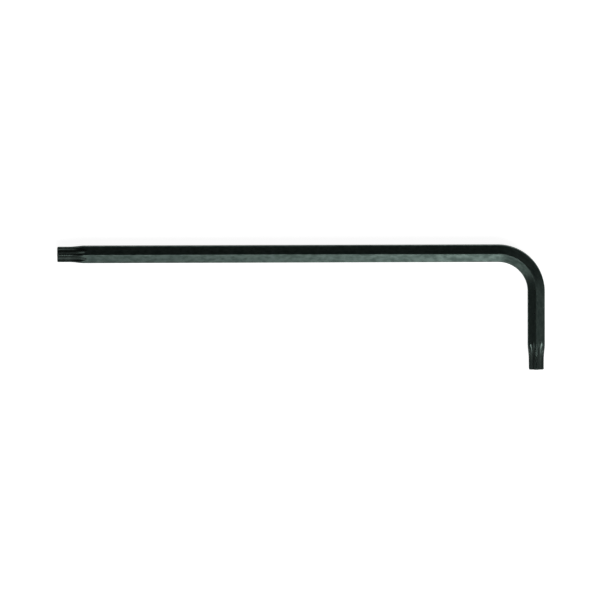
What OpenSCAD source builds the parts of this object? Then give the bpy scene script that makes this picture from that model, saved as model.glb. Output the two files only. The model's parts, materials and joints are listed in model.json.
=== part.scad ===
// Star key: an L-shaped hand driver made of hexagonal bar. Each end is formed to a
// six-lobed star, with one lobe in line with each corner of the hexagon.
// The key lies flat: its long arm runs along X, its short arm along Y, and one corner
// line of the hexagon points straight up.

/* [Arms] */
// Overall length of the long arm, from its star end to the back of the short arm
long_length = 113.6; // [60:0.1:220]
// Overall length of the short arm, from its star end to the back of the long arm
short_length = 29.2; // [24:0.1:80]

/* [Bar] */
// Width of the hexagonal bar across its flats
bar_flats = 4; // [3.7:0.05:4.6]
// Depth by which the corners of the hexagon are rounded back
corner_break = 0.06; // [0.02:0.01:0.15]

/* [Bend] */
// Radius of the bend on its inner flat
bend_inner_r = 6.9; // [3:0.1:10]

/* [Star] */
// Width of the star across two opposite lobes
star_lobes = 3.92; // [3.6:0.01:4.3]
// Width of the star across two opposite flutes
star_flutes = 2.8; // [2.6:0.01:3]
// Radius of the rounded sides of a lobe
lobe_r = 0.3; // [0.2:0.01:0.4]
// Width of the narrow land on the crest of a lobe
lobe_land = 0.2; // [0.1:0.01:0.3]

/* [Star tips] */
// Length of the full star on the long arm
long_star_length = 2.6; // [1.5:0.1:8]
// Length of the full star on the short arm
short_star_length = 2; // [1.5:0.1:8]
// Length over which the long arm's flutes run out into the flats of the bar
long_runout = 4; // [1.5:0.1:6]
// Length over which the short arm's flutes run out into the flats of the bar
short_runout = 4.4; // [1.5:0.1:6]
// Length by which the crests of the lobes run on before they widen into the corners of the bar
shoulder_lag = 0.2; // [0.1:0.05:0.6]
// Length of plain bar between the star's shoulder and the arm
tip_land = 0.8; // [0.2:0.1:2]
// Size of the lead-in chamfer around the end of the star
end_chamfer = 0.2; // [0.05:0.05:0.4]

/* [Hidden] */
$fn = 96;
black_oxide = "#262f2c";
// How far a cut runs past the surface that it cuts
overrun = 0.5;

// The hexagon and the star share the same six steps around the bar
sides = 6;
step_angle = 360 / sides;
half_step = step_angle / 2;

// Bar: distances from its centre line to a flat and to a rounded corner
flat_r = bar_flats / 2;
corner_r = flat_r / cos(half_step) - corner_break;

// Bend: the quarter turn that joins the arms, measured on the centre line
bend_angle = 90;
bend_r = bend_inner_r + flat_r;

// Star outline: a lobe's round side and the flute beside it are arcs that touch.
// The lobe's circle passes through the edge of the land on its crest.
star_r = star_lobes / 2;
flute_floor = star_flutes / 2;
half_land = lobe_land / 2;
lobe_centre = sqrt(pow(star_r, 2) - pow(half_land, 2)) - sqrt(pow(lobe_r, 2) - pow(half_land, 2));
lobe_centre_x = lobe_centre * cos(half_step);
lobe_centre_y = lobe_centre * sin(half_step);
flute_r = (pow(lobe_centre, 2) + pow(flute_floor, 2) - pow(lobe_r, 2) - 2 * lobe_centre_x * flute_floor)
    / (2 * (lobe_r + lobe_centre_x - flute_floor));
flute_centre = flute_floor + flute_r;
touch_angle = atan2(lobe_centre_y, flute_centre - lobe_centre_x);

// Share of the land's half width at which the side of a flute's cut leaves the lobe's circle
land_clear_share = 0.5;
land_angle = half_step - asin(land_clear_share * half_land / lobe_r);
lobe_steps = 5;
flute_steps = 5;

// Flare: star and bar meet on one radius, along which flutes and crests rise out of the bar
flute_depth = flat_r - flute_floor;
flare_steps = 8;
function flare_radius(runout) = runout / sin(2 * atan(flute_depth / runout));
// Angle on the flare's radius at which it has risen by a height and runs clear of the bar
function flare_sweep(flare_r, rise) = acos(1 - (max(rise, 0) + overrun) / flare_r);

// Star tips: the star, its run-out and a little plain bar
long_tip_length = long_star_length + long_runout + tip_land;
short_tip_length = short_star_length + short_runout + tip_land;

// Places of the centre lines, with the middle of the whole key over the origin
long_arm_y = short_length / 2 - flat_r;
short_arm_x = long_length / 2 - flat_r;
bend_x = short_arm_x - bend_r;
bend_y = long_arm_y - bend_r;
long_tip_x = -long_length / 2;
short_tip_y = -short_length / 2;
long_arm_length = bend_x - long_tip_x - long_tip_length;
short_arm_length = bend_y - short_tip_y - short_tip_length;

function arc(centre, r, from, to, steps) =
    [for (i = [0:steps]) let (a = from + (to - from) * i / steps) centre + r * [cos(a), sin(a)]];

function reversed(points) = [for (i = [len(points) - 1:-1:0]) points[i]];

// One side of the cut that makes a flute, seen along the bar, with the flute's middle on X
lobe_side = arc([lobe_centre_x, lobe_centre_y], lobe_r, land_angle, -touch_angle, lobe_steps);
flute_side = arc([flute_centre, 0], flute_r, 180 - touch_angle, 180, flute_steps);
outer_point = lobe_side[0] + (corner_r - star_r + overrun) * [cos(half_step), sin(half_step)];
half_cut = concat([outer_point, for (i = [0:lobe_steps - 1]) lobe_side[i]], flute_side);
mirrored_half = [for (p = reversed(half_cut)) [p[0], -p[1]]];
flute_cut = concat(half_cut, [for (i = [1:len(mirrored_half) - 1]) mirrored_half[i]]);

// Hexagon with rounded corners, two of its flats square to X
module bar_outline() {
    intersection() {
        rotate(half_step) circle(r = flat_r / cos(half_step), $fn = sides);
        circle(r = corner_r);
    }
}

// Straight bar along Z
module bar(length) {
    linear_extrude(length) bar_outline();
}

// Cut for one flute: straight along the star, then rising on an arc out of the bar
module flute(star_length, flare_r) {
    flute_axis = flute_floor + flare_r;
    flute_sweep = flare_sweep(flare_r, corner_r - flute_floor);
    translate([0, 0, -overrun]) linear_extrude(overrun + star_length) polygon(flute_cut);
    translate([flute_axis, 0, star_length]) rotate([90, 0, 180])
        rotate_extrude(angle = flute_sweep) polygon([for (p = flute_cut) [flute_axis - p[0], p[1]]]);
}

// Turned outline of a tip: lead-in chamfer, crests of the lobes and flared shoulder
module tip_blank(star_length, flare_r, tip_length) {
    flare_centre = [star_r + flare_r, star_length + shoulder_lag];
    crest_sweep = flare_sweep(flare_r, corner_r - star_r);
    flare = arc(flare_centre, flare_r, 180, 180 - crest_sweep, flare_steps);
    flare_end = flare[flare_steps];
    blank_end = max(flare_end[1], tip_length) + overrun;
    rotate_extrude() polygon(concat(
        [[0, 0], [star_r - end_chamfer, 0], [star_r, end_chamfer]],
        flare,
        [[flare_end[0], blank_end], [0, blank_end]]
    ));
}

// Star tip along Z, with its end face at the origin
module star_tip(star_length, runout, tip_length) {
    flare_r = flare_radius(runout);
    difference() {
        intersection() {
            translate([0, 0, -overrun]) bar(overrun + tip_length);
            tip_blank(star_length, flare_r, tip_length);
        }
        for (i = [0:sides - 1]) rotate(i * step_angle) flute(star_length, flare_r);
    }
}

// Lays a shape that runs along Z into the long arm, a given way from the arm's star end
module along_long_arm(from_end) {
    translate([long_tip_x + from_end, long_arm_y, corner_r]) rotate([90, 0, 90]) children();
}

// Lays a shape that runs along Z into the short arm, a given way from the arm's star end
module along_short_arm(from_end) {
    translate([short_arm_x, short_tip_y + from_end, corner_r]) rotate([90, 0, 180]) children();
}

module long_star_tip() {
    color(black_oxide) along_long_arm(0) star_tip(long_star_length, long_runout, long_tip_length);
}

module long_arm() {
    color(black_oxide) along_long_arm(long_tip_length) bar(long_arm_length);
}

module bend() {
    color(black_oxide) translate([bend_x, bend_y, corner_r])
        rotate_extrude(angle = bend_angle) translate([bend_r, 0]) bar_outline();
}

module short_arm() {
    color(black_oxide) along_short_arm(short_tip_length) bar(short_arm_length);
}

module short_star_tip() {
    color(black_oxide) along_short_arm(0) star_tip(short_star_length, short_runout, short_tip_length);
}

long_star_tip();
long_arm();
bend();
short_arm();
short_star_tip();
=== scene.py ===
# %% [markdown]
# # A star key
# A star key is an L-shaped hand driver: one length of hexagonal steel bar, bent once, with a
# six-lobed star pressed on both ends and a black oxide finish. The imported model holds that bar
# as five zones. Each zone gets a finer mesh here, then the bar gets its finish, a light table,
# lamps and a camera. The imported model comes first, because sizes and places are read from it.

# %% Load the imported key
import json
import math

import bmesh
import bpy
from mathutils import Matrix, Vector


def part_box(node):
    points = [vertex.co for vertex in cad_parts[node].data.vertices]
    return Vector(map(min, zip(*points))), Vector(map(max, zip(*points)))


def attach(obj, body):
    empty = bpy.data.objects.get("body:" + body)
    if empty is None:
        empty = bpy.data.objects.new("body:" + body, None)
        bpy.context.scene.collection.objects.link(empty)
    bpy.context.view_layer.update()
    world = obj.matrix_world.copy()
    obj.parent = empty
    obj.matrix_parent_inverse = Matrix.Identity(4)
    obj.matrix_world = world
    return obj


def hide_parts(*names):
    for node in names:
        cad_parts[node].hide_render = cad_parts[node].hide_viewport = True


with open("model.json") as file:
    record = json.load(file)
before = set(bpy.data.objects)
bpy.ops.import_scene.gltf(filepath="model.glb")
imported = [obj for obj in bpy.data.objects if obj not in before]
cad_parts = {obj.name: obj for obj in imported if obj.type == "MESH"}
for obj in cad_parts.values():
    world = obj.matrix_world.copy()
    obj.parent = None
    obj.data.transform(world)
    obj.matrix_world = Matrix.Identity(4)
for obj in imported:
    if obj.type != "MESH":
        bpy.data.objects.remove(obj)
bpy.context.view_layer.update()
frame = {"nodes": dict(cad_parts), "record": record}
print("zones of the bar:", sorted(frame["nodes"]))

# %% [markdown]
# ## Where the bar runs
# The centre line is two straight lines and a quarter circle, so a few sizes fix all of it. They
# could be typed in again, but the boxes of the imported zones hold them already: the long arm's
# box gives the width across the flats and the height across the corners, and the low corner of
# the bend's box is the point that the bend turns about.

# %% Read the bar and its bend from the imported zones
MM = 0.001
arm_low, arm_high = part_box("long_arm")
bend_low, bend_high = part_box("bend")
flat_r = (arm_high.y - arm_low.y) / 2
corner_r = (arm_high.z - arm_low.z) / 2
bar_z = (arm_high.z + arm_low.z) / 2
long_axis_y = (arm_high.y + arm_low.y) / 2
bend_x, bend_y = bend_low.x, bend_low.y
bend_r = long_axis_y - bend_y
short_axis_x = bend_x + bend_r
print(f"bar {2 * flat_r / MM:.2f} mm across flats, bent on a radius of {bend_r / MM:.2f} mm")

# %% Read the ends and the joins along each arm
long_end_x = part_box("long_star_tip")[0].x
short_end_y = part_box("short_star_tip")[0].y
long_tip_length = arm_low.x - long_end_x
long_arm_length = bend_x - arm_low.x
short_tip_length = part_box("short_arm")[0].y - short_end_y
short_arm_length = bend_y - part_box("short_arm")[0].y
bend_length = bend_r * math.pi / 2
bend_start = long_tip_length + long_arm_length
print(f"plain bar {long_arm_length / MM:.1f} mm and {short_arm_length / MM:.1f} mm long")

# %% [markdown]
# ## The outline of the bar
# Drawn hexagonal bar has slightly rounded corners and flats that are a hair fuller in the middle.
# A six-sided circle with bevelled corners would give the first, but the same ring of points has
# to turn into a star further on. So the outline is a formula: how far the surface lies from the
# centre line, for an angle counted from the nearest corner.

# %% Work out the outline of the bar
step = math.radians(60)
half_step = step / 2
flat_crown = 0.02 * MM
point_r = flat_r / math.cos(half_step)
round_r = (point_r - corner_r) / (1 / math.cos(half_step) - 1)
round_centre = corner_r - round_r
round_turn = math.atan2(round_r * math.sin(half_step), round_centre + round_r * math.cos(half_step))


def bar_radius(turn):
    """Distance from the centre line to the bar's surface, at an angle from the nearest corner."""
    if turn < round_turn:
        return round_centre * math.cos(turn) + math.sqrt(round_r**2 - (round_centre * math.sin(turn)) ** 2)
    off_flat = half_step - turn
    fall = flat_crown * (math.tan(off_flat) / math.tan(half_step)) ** 2
    return (flat_r - fall) / math.cos(off_flat)


print(f"corners rounded on {round_r / MM:.2f} mm")

# %% [markdown]
# ## The outline of the star
# Each lobe of the star lies in line with a corner of the bar and each flute in the middle of a
# flat. The sides of a lobe and the floor of a flute are arcs that touch. A ray from the centre
# line meets one arc or the other, so the star too is a formula of the angle. Its length and its
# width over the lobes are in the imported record, because a driver's star has to fit its socket.

# %% Sizes of the star
mounts = {mount["name"]: mount["dims"] for mount in frame["record"]["mounts"]}
star_r = mounts["long_star"]["r_mm"] * MM
long_star_length = mounts["long_star"]["length_mm"] * MM
short_star_length = mounts["short_star"]["length_mm"] * MM
flute_floor = 1.4 * MM
lobe_r = 0.3 * MM
half_land = 0.1 * MM
print(f"star {2 * star_r / MM:.2f} mm over its lobes, {2 * flute_floor / MM:.2f} mm between its flutes")

# %% Work out the arcs of the star
lobe_centre = math.sqrt(star_r**2 - half_land**2) - math.sqrt(lobe_r**2 - half_land**2)
lobe_x = lobe_centre * math.cos(half_step)
lobe_y = lobe_centre * math.sin(half_step)
flute_r = (lobe_centre**2 + flute_floor**2 - lobe_r**2 - 2 * lobe_x * flute_floor) / (
    2 * (lobe_r + lobe_x - flute_floor)
)
flute_centre = flute_floor + flute_r
touch = math.atan2(lobe_y, flute_centre - lobe_x)
touch_x = lobe_x + lobe_r * math.cos(touch)
touch_y = lobe_y - lobe_r * math.sin(touch)
crest_x = lobe_x + lobe_r * math.cos(half_step)
crest_y = lobe_y + lobe_r * math.sin(half_step)
print(f"flutes hollowed on a radius of {flute_r / MM:.2f} mm")


def star_radius(turn, lift):
    """Distance to the star's side, at an angle from the nearest lobe, with the flutes lifted."""
    off_flute = half_step - turn
    if off_flute < math.atan2(touch_y, touch_x + lift):
        reach = flute_centre + lift
        return reach * math.cos(off_flute) - math.sqrt(flute_r**2 - (reach * math.sin(off_flute)) ** 2)
    if off_flute > math.atan2(crest_y, crest_x + lift):
        return math.inf
    ahead = (lobe_x + lift) * math.cos(off_flute) + lobe_y * math.sin(off_flute)
    aside = (lobe_x + lift) * math.sin(off_flute) - lobe_y * math.cos(off_flute)
    return ahead + math.sqrt(max(lobe_r**2 - aside**2, 0))


# %% [markdown]
# ## Where the star runs out into the bar
# Past the star the flutes rise out of the bar on a long arc, and the crests of the lobes widen
# into its corners on the same arc. The surface at any point is the lowest of three: the side of
# the star, the crest and the bar. A plain minimum would leave a crease where one takes over from
# the next, but pressed steel flows, so the minimum is rounded off there.

# %% Work out the surface of a tip
tip_land = 0.8 * MM
shoulder_lag = 0.2 * MM
end_chamfer = 0.2 * MM
CREST_BLEND = 0.1 * MM
BAR_BLEND = 0.22 * MM


def flare_radius(runout):
    """Radius of the arc on which a flute rises to the flat over a length."""
    return runout / math.sin(2 * math.atan((flat_r - flute_floor) / runout))


def flare(run, radius):
    """How far the flare has risen, a run past the end of the star."""
    return radius - math.sqrt(radius**2 - max(run, 0) ** 2)


def blended(first, second, width):
    """The smaller of two distances, rounded off where they differ by less than a width."""
    near = max(width - abs(first - second), 0) / width
    return min(first, second) - width * near**2 / 4


def tip_radius(turn, along, star_length, radius):
    """Distance from the centre line to the surface of a star tip, a way along from its end."""
    run = along - star_length
    crest = star_r + flare(run - shoulder_lag, radius) - max(end_chamfer - along, 0)
    star = blended(star_radius(turn, flare(run, radius)), crest, CREST_BLEND)
    return blended(star, bar_radius(turn), BAR_BLEND)


long_runout = long_tip_length - long_star_length - tip_land
short_runout = short_tip_length - short_star_length - tip_land
print(f"flutes run out over {long_runout / MM:.1f} mm and {short_runout / MM:.1f} mm")

# %% [markdown]
# ## A ring of points round the bar
# Every zone starts as one ring, which is then pulled or spun along the centre line. Blender's
# circle spaces its points evenly. The corners and lobes curve more tightly than the flats do, so
# the points are gathered towards them before the ring is shaped. All zones use the same ring,
# which keeps the surface unbroken where two zones meet.

# %% Helpers for the ring
RING_POINTS = 192
GATHER = 1.3


def off_corner(turn):
    """Angle from the nearest corner."""
    return turn - round(turn / step) * step


def gathered(turn):
    """The same angle, drawn towards the nearest corner."""
    off = off_corner(turn)
    return turn - off + math.copysign(half_step * (abs(off) / half_step) ** GATHER, off)


def shape_ring(ring, radius_at):
    """Moves each point of a ring to the distance that a formula gives for its angle."""
    for vert in ring:
        turn = math.atan2(vert.co.x, vert.co.y)
        r = radius_at(abs(off_corner(turn)))
        vert.co.x, vert.co.y = r * math.sin(turn), r * math.cos(turn)


def start_ring(mesh):
    """A ring round the origin, across Z, with a corner of the bar on Y."""
    ring = bmesh.ops.create_circle(mesh, cap_ends=False, segments=RING_POINTS, radius=corner_r)["verts"]
    for vert in ring:
        turn = gathered(math.atan2(vert.co.x, vert.co.y))
        vert.co.x, vert.co.y = corner_r * math.sin(turn), corner_r * math.cos(turn)
    return ring


def ring_edges(ring):
    """The edges that join the points of a ring."""
    points = set(ring)
    edges = [edge for vert in ring for edge in vert.link_edges if edge.other_vert(vert) in points]
    return list(dict.fromkeys(edges))


def pull_ring(mesh, ring, distance):
    """Extrudes a ring along Z and returns the new ring."""
    pulled = bmesh.ops.extrude_edge_only(mesh, edges=ring_edges(ring))["geom"]
    new_ring = [part for part in pulled if isinstance(part, bmesh.types.BMVert)]
    bmesh.ops.translate(mesh, verts=new_ring, vec=(0, 0, distance))
    return new_ring


print(f"{RING_POINTS} points round the bar")

# %% [markdown]
# ## From a bare mesh to a piece
# A piece of the key is a closed mesh: its open rings are filled, its faces point outwards and
# only true edges are drawn sharp. It also carries its own map. Each point stores its place on
# the bar as it was before bending, so that the marks left by drawing the bar can follow it round
# the bend, and how deep it lies below the plain bar, so that the flutes can be told apart.
# A finished piece stands in for its packed zone and rides on the same body.

# %% Helpers that map a piece
flute_depth = flat_r - flute_floor


def unbent(point):
    """Place of a point on the straight bar: along it, across it and up."""
    up = point.z - bar_z
    if point.x > bend_x and point.y > bend_y:
        out = math.hypot(point.x - bend_x, point.y - bend_y)
        turned = math.atan2(point.x - bend_x, point.y - bend_y)
        return Vector((bend_start + bend_r * turned, out - bend_r, up))
    if point.y > bend_y:
        return Vector((point.x - long_end_x, point.y - long_axis_y, up))
    return Vector((bend_start + bend_length + bend_y - point.y, point.x - short_axis_x, up))


def depth_share(place):
    """How deep a point lies below the plain bar: 0 on the bar, 1 on the floor of a flute."""
    turn = abs(off_corner(math.atan2(place.y, place.z)))
    depth = bar_radius(turn) - math.hypot(place.y, place.z)
    return min(max(depth / flute_depth, 0), 1)


# %% Helper that finishes a piece
SHARP = math.radians(40)
SAME_POINT = 0.0001 * MM


def finish_piece(mesh, name, node):
    """Closes a mesh, maps it along the bar and puts it in place of a packed zone."""
    bmesh.ops.remove_doubles(mesh, verts=mesh.verts, dist=SAME_POINT)
    bmesh.ops.holes_fill(mesh, edges=mesh.edges, sides=0)
    bmesh.ops.recalc_face_normals(mesh, faces=mesh.faces)
    bar_place = mesh.verts.layers.float_vector.new("bar_place")
    recess = mesh.verts.layers.float.new("recess")
    for vert in mesh.verts:
        vert[bar_place] = unbent(vert.co)
        vert[recess] = depth_share(vert[bar_place])
    for face in mesh.faces:
        face.smooth = True
    for edge in mesh.edges:
        edge.smooth = edge.calc_face_angle(0) < SHARP
    data = bpy.data.meshes.new(name)
    mesh.to_mesh(data)
    mesh.free()
    piece = bpy.data.objects.new(name, data)
    bpy.context.scene.collection.objects.link(piece)
    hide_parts(node)
    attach(piece, "root")
    print(f"{name}: {len(data.polygons)} faces")
    return piece


# %% [markdown]
# ## The straight arms
# An arm is plain bar. A long box with bevelled edges would do for it, but its points wouldn't
# meet those of the bend and the star. So the common ring is shaped to the bar once and pulled
# along in even steps, and a matrix then lays it into its arm.

# %% Lay a straight zone along an arm
def along_long_arm(start):
    """Turns Z into X and sets the start a way from the long arm's end."""
    turned = Matrix(((0, 0, 1, 0), (1, 0, 0, 0), (0, 1, 0, 0), (0, 0, 0, 1)))
    return Matrix.Translation((long_end_x + start, long_axis_y, bar_z)) @ turned


def along_short_arm(start):
    """Turns Z into Y and sets the start a way from the short arm's end."""
    turned = Matrix(((-1, 0, 0, 0), (0, 0, 1, 0), (0, 1, 0, 0), (0, 0, 0, 1)))
    return Matrix.Translation((short_axis_x, short_end_y + start, bar_z)) @ turned


# %% Make the two arms
ARM_STEP = 2 * MM


def straight_arm(name, node, length, place):
    """Plain bar of a length."""
    mesh = bmesh.new()
    ring = start_ring(mesh)
    shape_ring(ring, bar_radius)
    count = round(length / ARM_STEP)
    for _ in range(count):
        ring = pull_ring(mesh, ring, length / count)
    bmesh.ops.transform(mesh, matrix=place, verts=mesh.verts)
    return finish_piece(mesh, name, node)


pieces = [
    straight_arm("long_arm_steel", "long_arm", long_arm_length, along_long_arm(long_tip_length)),
    straight_arm("short_arm_steel", "short_arm", short_arm_length, along_short_arm(short_tip_length)),
]

# %% [markdown]
# ## The bend
# The bar was bent cold round a former. Spin does the same to the ring: it turns about the middle
# of the bend from the end of the long arm to the start of the short one. An array on a curve
# would need a live modifier and gives no better shape.

# %% Spin the bend
BEND_STEPS = 90


def bent_bar(name, node):
    """The quarter turn between the arms."""
    mesh = bmesh.new()
    shape_ring(start_ring(mesh), bar_radius)
    bmesh.ops.transform(mesh, matrix=along_long_arm(bend_start), verts=mesh.verts)
    bmesh.ops.spin(
        mesh,
        geom=mesh.verts[:] + mesh.edges[:],
        cent=(bend_x, bend_y, bar_z),
        axis=(0, 0, 1),
        angle=-math.pi / 2,
        steps=BEND_STEPS,
    )
    return finish_piece(mesh, name, node)


pieces.append(bent_bar("bend_steel", "bend"))

# %% [markdown]
# ## The star tips
# Each end was pressed in a die, which leaves flutes that run out into the flats and lobes that
# widen into the corners, all without a sharp edge. Cutting flutes out of the bar with booleans
# would leave ragged edges to clean up. Here the ring is pulled in short steps instead, and each
# new ring takes the outline that the tip has at that station. Bevel then takes the sharpness off
# the rim of the end face.

# %% Choose the stations of a tip
RIM_STEP = 0.1 * MM
STAR_STEP = 0.2 * MM
FLARE_STEP = 0.08 * MM


def stations(star_length, tip_length):
    """Distances from the end at which a tip has a ring, closer together where its outline changes."""
    marks = [0.0]
    stretches = (
        (2 * end_chamfer, RIM_STEP),
        (star_length, STAR_STEP),
        (tip_length, FLARE_STEP),
    )
    for stop, spacing in stretches:
        start = marks[-1]
        count = round((stop - start) / spacing)
        marks += [start + (stop - start) * (i + 1) / count for i in range(count)]
    return marks


print(f"{len(stations(long_star_length, long_tip_length))} rings on the long tip")

# %% Make the two star tips
RIM_ROUND = 0.05 * MM
RIM_SEGMENTS = 3


def star_tip(name, node, star_length, tip_length, place):
    """Star, run-out and a little plain bar."""
    radius = flare_radius(tip_length - star_length - tip_land)
    marks = stations(star_length, tip_length)
    mesh = bmesh.new()
    end_ring = start_ring(mesh)
    shape_ring(end_ring, lambda turn: tip_radius(turn, 0, star_length, radius))
    ring = end_ring
    for last, along in zip(marks, marks[1:]):
        ring = pull_ring(mesh, ring, along - last)
        shape_ring(ring, lambda turn: tip_radius(turn, along, star_length, radius))
    rim = ring_edges(end_ring)
    bmesh.ops.contextual_create(mesh, geom=rim)
    bmesh.ops.bevel(
        mesh,
        geom=rim,
        affect="EDGES",
        offset=RIM_ROUND,
        segments=RIM_SEGMENTS,
        profile=0.5,
        material=-1,
        clamp_overlap=True,
    )
    end_face = max(mesh.faces, key=lambda face: len(face.verts))
    bmesh.ops.poke(mesh, faces=[end_face])
    bmesh.ops.transform(mesh, matrix=place, verts=mesh.verts)
    return finish_piece(mesh, name, node)


pieces += [
    star_tip("long_star_steel", "long_star_tip", long_star_length, long_tip_length, along_long_arm(0)),
    star_tip("short_star_steel", "short_star_tip", short_star_length, short_tip_length, along_short_arm(0)),
]

# %% [markdown]
# ## Writing a finish as an expression
# A finish is a web of nodes. Wired by hand it is long to write and hard to follow, so one small
# class wraps a socket: sums on it add Math nodes, and one method adds any other node.

# %% A socket that Python can calculate with
class Wire:
    """A socket in a finish. Sums on it become Math nodes."""

    def __init__(self, tree, socket=None):
        self.tree = tree
        self.socket = socket

    def node(self, kind, settings, inputs):
        """Adds any node: its settings first, then the values or links of its sockets."""
        made = self.tree.nodes.new(kind)
        for name, value in settings.items():
            setattr(made, name, value)
        for name, value in inputs.items():
            if isinstance(value, Wire):
                self.tree.links.new(value.socket, made.inputs[name])
            else:
                made.inputs[name].default_value = value
        return Wire(self.tree, made.outputs[0] if made.outputs else None)

    def out(self, name):
        """Another output of the same node."""
        return Wire(self.tree, self.socket.node.outputs[name])

    def sum(self, operation, first, second):
        """A Math node on two values."""
        return self.node("ShaderNodeMath", {"operation": operation}, {0: first, 1: second})

    def __add__(self, other):
        return self.sum("ADD", self, other)

    def __radd__(self, other):
        return self.sum("ADD", other, self)

    def __sub__(self, other):
        return self.sum("SUBTRACT", self, other)

    def __rsub__(self, other):
        return self.sum("SUBTRACT", other, self)

    def __mul__(self, other):
        return self.sum("MULTIPLY", self, other)

    def __rmul__(self, other):
        return self.sum("MULTIPLY", other, self)


# %% Helpers for finishes
COLOUR_RESULT = 2


def new_finish(name):
    """A material with an empty web, and a wire to build it from."""
    material = bpy.data.materials.new(name)
    material.use_nodes = True
    material.node_tree.nodes.clear()
    return material, Wire(material.node_tree)


def mix_colour(wire, share, first, second):
    """A colour between two."""
    inputs = {"Factor": share, 6: first, 7: second}
    return wire.node("ShaderNodeMix", {"data_type": "RGBA"}, inputs).out(COLOUR_RESULT)


def grain(wire, place, size, detail):
    """Noise over the bar, from 0 to 1, with features of a size along it, across it and up."""
    scaled = wire.node("ShaderNodeVectorMath", {"operation": "DIVIDE"}, {0: place, 1: size})
    return wire.node("ShaderNodeTexNoise", {}, {"Vector": scaled, "Scale": 1.0, "Detail": detail})


def spread(wire, value, low, high):
    """Stretches a narrow band of a value over 0 to 1, with soft ends."""
    inputs = {"Value": value, "From Min": low, "From Max": high}
    return wire.node("ShaderNodeMapRange", {"interpolation_type": "SMOOTHSTEP"}, inputs)


# %% [markdown]
# ## Black oxide on drawn steel
# Black oxide is a thin layer grown in a hot bath. It turns the steel a deep grey with a touch of
# green, and it keeps the texture that drawing left: fine lines along the bar, cloudy patches a
# few millimetres long where the bath took better, and tiny pits. It could be painted as dark
# plastic, but it mirrors its surroundings in its own colour as a metal does, so it is a metal
# with a dark colour. The patches change its colour and its gloss, and the lines and pits lift
# and lower its surface by thousandths of a millimetre. The star is darker than the bar. The die
# left its shoulders smooth, so they catch glints. The floor of its flutes is the dullest place
# of all, and its colour is darkest there as painted shade in the hollows. A bare metal turns
# bright where it is seen at a slant. The oxide layer soaks up light there, so the tint for a
# slanting view is a dark grey.

# %% Sizes and colours of the black oxide
CLOUD_SIZE = (1.5 * MM, 0.9 * MM, 0.9 * MM)
LINE_SIZE = (14 * MM, 0.12 * MM, 0.12 * MM)
PIT_SIZE = (0.22 * MM, 0.16 * MM, 0.16 * MM)
CLOUD_LIFT = 0.004 * MM
LINE_LIFT = 0.0012 * MM
PIT_DEPTH = 0.0015 * MM
THICK_OXIDE = (0.044, 0.064, 0.057, 1)
THIN_OXIDE = (0.082, 0.113, 0.101, 1)
# The darkest colour: the star's darker tone, and painted shade on the floor of its flutes.
STAR_OXIDE_AND_SHADE = (0.022, 0.026, 0.024, 1)
SLANT_TINT = (0.4, 0.4, 0.4, 1)
SATIN = 0.33
print(f"patches {CLOUD_SIZE[0] / MM:.1f} mm long, pits {PIT_SIZE[0] / MM:.2f} mm long")


# %% Make the black oxide finish
def black_oxide_steel():
    """Dark metal with cloudy patches, lines along the bar and tiny pits."""
    material, wire = new_finish("black_oxide_steel")
    place = wire.node("ShaderNodeAttribute", {"attribute_name": "bar_place"}, {}).out("Vector")
    recess = wire.node("ShaderNodeAttribute", {"attribute_name": "recess"}, {}).out("Fac")
    clouds = spread(wire, grain(wire, place, CLOUD_SIZE, 3.0), 0.3, 0.7)
    lines = grain(wire, place, LINE_SIZE, 3.0)
    pits = spread(wire, grain(wire, place, PIT_SIZE, 2.0), 0.58, 0.72)
    oxide = mix_colour(wire, clouds, THICK_OXIDE, THIN_OXIDE)
    pressed = spread(wire, recess, 0.0, 0.1)
    sunk = spread(wire, recess, 0.35, 0.85)
    # The star takes some of the darkest colour, and the floor of its flutes takes more of it as painted
    # shade.
    colour = mix_colour(wire, 0.5 * pressed + 0.2 * sunk, oxide, STAR_OXIDE_AND_SHADE)
    roughness = SATIN - 0.08 * clouds + 0.06 * lines + 0.10 * pits - 0.10 * pressed + 0.24 * sunk
    height = CLOUD_LIFT * clouds + LINE_LIFT * lines - PIT_DEPTH * pits
    normal = wire.node("ShaderNodeBump", {}, {"Strength": 1.0, "Distance": 1.0, "Height": height})
    surface = wire.node(
        "ShaderNodeBsdfPrincipled",
        {},
        {
            "Base Color": colour,
            "Metallic": 1.0,
            "Specular Tint": SLANT_TINT,
            "Roughness": roughness,
            "Normal": normal,
        },
    )
    wire.node("ShaderNodeOutputMaterial", {}, {"Surface": surface})
    return material


finish = black_oxide_steel()
for piece in pieces:
    piece.data.materials.append(finish)
print(f"{len(finish.node_tree.nodes)} nodes in the black finish")

# %% [markdown]
# ## A light table
# The key lies on a white sheet that curves up far away and is lit from below, as on a light
# table, so that it is white right to the edges. A lamp under the sheet would also light the key,
# so the sheet glows only where the camera or a reflection sees it. The lamps above add a little
# to the glow, and where the key keeps their light off, the sheet is a shade darker.

# %% Spin the sheet and its far rim
SHEET_R = 3.0
SWEEP_R = 0.8
SWEEP_TURN = math.radians(80)
SWEEP_STEPS = 12
SHEET_STEPS = 64


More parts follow.
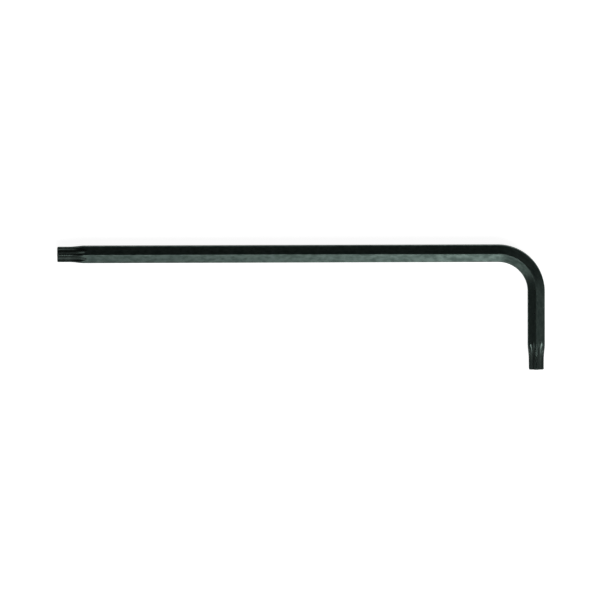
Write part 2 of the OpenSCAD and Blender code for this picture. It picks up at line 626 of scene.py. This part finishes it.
def light_table():
    """A round sheet with an upturned rim."""
    mesh = bmesh.new()
    middle = mesh.verts.new((0, 0, 0))
    edge = mesh.verts.new((SHEET_R, 0, 0))
    mesh.edges.new((middle, edge))
    rim_centre = (SHEET_R, 0, SWEEP_R)
    bmesh.ops.spin(mesh, geom=[edge], cent=rim_centre, axis=(0, -1, 0), angle=SWEEP_TURN, steps=SWEEP_STEPS)
    bmesh.ops.spin(
        mesh,
        geom=mesh.verts[:] + mesh.edges[:],
        cent=(0, 0, 0),
        axis=(0, 0, 1),
        angle=2 * math.pi,
        steps=SHEET_STEPS,
        use_merge=True,
    )
    bmesh.ops.remove_doubles(mesh, verts=mesh.verts, dist=MM)
    bmesh.ops.recalc_face_normals(mesh, faces=mesh.faces)
    data = bpy.data.meshes.new("light_table")
    mesh.to_mesh(data)
    mesh.free()
    table = bpy.data.objects.new("light_table", data)
    bpy.context.scene.collection.objects.link(table)
    return table


table = light_table()
print(f"light table with {len(table.data.polygons)} faces")

# %% Make the white sheet's finish
GLOW = 0.93
SHEET_COLOUR = (0.35, 0.35, 0.35, 1)


def white_sheet():
    """White that glows for the camera and for reflections, and still takes a shadow."""
    material, wire = new_finish("white_sheet")
    path = wire.node("ShaderNodeLightPath", {}, {})
    seen = path.out("Is Camera Ray") + path.out("Is Glossy Ray") + path.out("Is Transmission Ray")
    matt = wire.node("ShaderNodeBsdfDiffuse", {}, {"Color": SHEET_COLOUR})
    glow = wire.node("ShaderNodeEmission", {}, {"Strength": GLOW * seen})
    both = wire.node("ShaderNodeAddShader", {}, {0: matt, 1: glow})
    wire.node("ShaderNodeOutputMaterial", {}, {"Surface": both})
    return material


table.data.materials.append(white_sheet())
print(f"the sheet glows at {GLOW} of full white")

# %% [markdown]
# ## Light
# A dark mirror shows its surroundings, so lighting this key means choosing what each flat sees.
# Seen from above, a flat beside the top corner mirrors a place about 30 degrees over the table,
# square to its arm. A large soft box on the near side, towards the right, gives the near flat
# its sheen, and two dimmer cards to its left carry the sheen round the inside of the bend. Faint
# cards at the right show the short arm's outer flat and the outside of the bend. The shoulders
# of a star lean towards its end and mirror higher places. A small card hung close above the near
# side puts a glint on the left shoulder of the short star, and a lamp far off at the near right
# puts one on its right shoulder. The far side stays dark, which keeps the far flat black, except
# for a weak lamp far to the left that lights the key for views from behind.

# %% Set the lamps
def soft_box(name, place, size, brightness):
    """A flat lamp that faces the key. Its brightness is what a mirror would show of it."""
    lamp = bpy.data.lights.new(name, "AREA")
    lamp.shape = "RECTANGLE"
    lamp.size, lamp.size_y = size
    lamp.energy = brightness * math.pi * size[0] * size[1]
    stand = bpy.data.objects.new(name, lamp)
    bpy.context.scene.collection.objects.link(stand)
    stand.location = place
    stand.rotation_euler = Vector(place).to_track_quat("Z", "Y").to_euler()
    return stand


lamps = [
    soft_box("near_soft_box", (0.217, -0.346, 0.25), (0.46, 0.36), 3.3),
    soft_box("near_card", (-0.14, -0.35, 0.24), (0.26, 0.24), 0.7),
    soft_box("bend_card", (-0.285, -0.31, 0.22), (0.13, 0.26), 1.0),
    soft_box("right_card", (0.49, -0.10, 0.28), (0.38, 0.30), 0.2),
    soft_box("high_card", (-0.03, -0.13, 0.27), (0.09, 0.05), 9.0),
    soft_box("far_right_card", (0.35, 0.35, 0.28), (0.40, 0.30), 0.07),
    soft_box("far_left_fill", (-0.90, 0.60, 0.34), (0.50, 0.50), 0.3),
    soft_box("near_right_fill", (0.56, -0.58, 0.84), (0.50, 0.50), 4.0),
]
print(f"{len(lamps)} lamps")

# %% Set the world
STUDIO_LIGHT = 0.05
world = bpy.data.worlds.new("dim_studio")
world.use_nodes = True
backdrop = world.node_tree.nodes["Background"]
backdrop.inputs["Color"].default_value = (1, 1, 1, 1)
backdrop.inputs["Strength"].default_value = STUDIO_LIGHT
bpy.context.scene.world = world
print(f"studio lit at {STUDIO_LIGHT} of full white")

# %% [markdown]
# ## Camera
# The view is from above through a long lens, which keeps the arms free of perspective. It isn't
# quite straight down: it leans a few degrees to the far side, which makes the long arm a little
# wider than the short one and sets its ridge below its middle. It is also turned by a hair.

# %% Set the camera
VIEW_WIDTH = 139.9 * MM
VIEW_MIDDLE = Vector((-0.27 * MM, 1.78 * MM, bar_z))
VIEW_DEPTH = 10.0
LENS = 600
LEAN = math.radians(4.7)
TURN = math.radians(0.17)
camera_data = bpy.data.cameras.new("camera")
camera_data.lens = LENS
camera_data.clip_end = VIEW_DEPTH
camera = bpy.data.objects.new("camera", camera_data)
bpy.context.scene.collection.objects.link(camera)
distance = VIEW_WIDTH * LENS / camera_data.sensor_width
turned = Matrix.Rotation(-TURN, 4, "Z") @ Matrix.Rotation(-LEAN, 4, "X")
camera.matrix_world = Matrix.Translation(VIEW_MIDDLE) @ turned @ Matrix.Translation((0, 0, distance))
bpy.context.scene.camera = camera
bpy.context.scene.view_settings.view_transform = "Standard"
print(f"camera {distance / MM:.0f} mm from the key")

# %% Bring the scene up to date
bpy.context.view_layer.update()
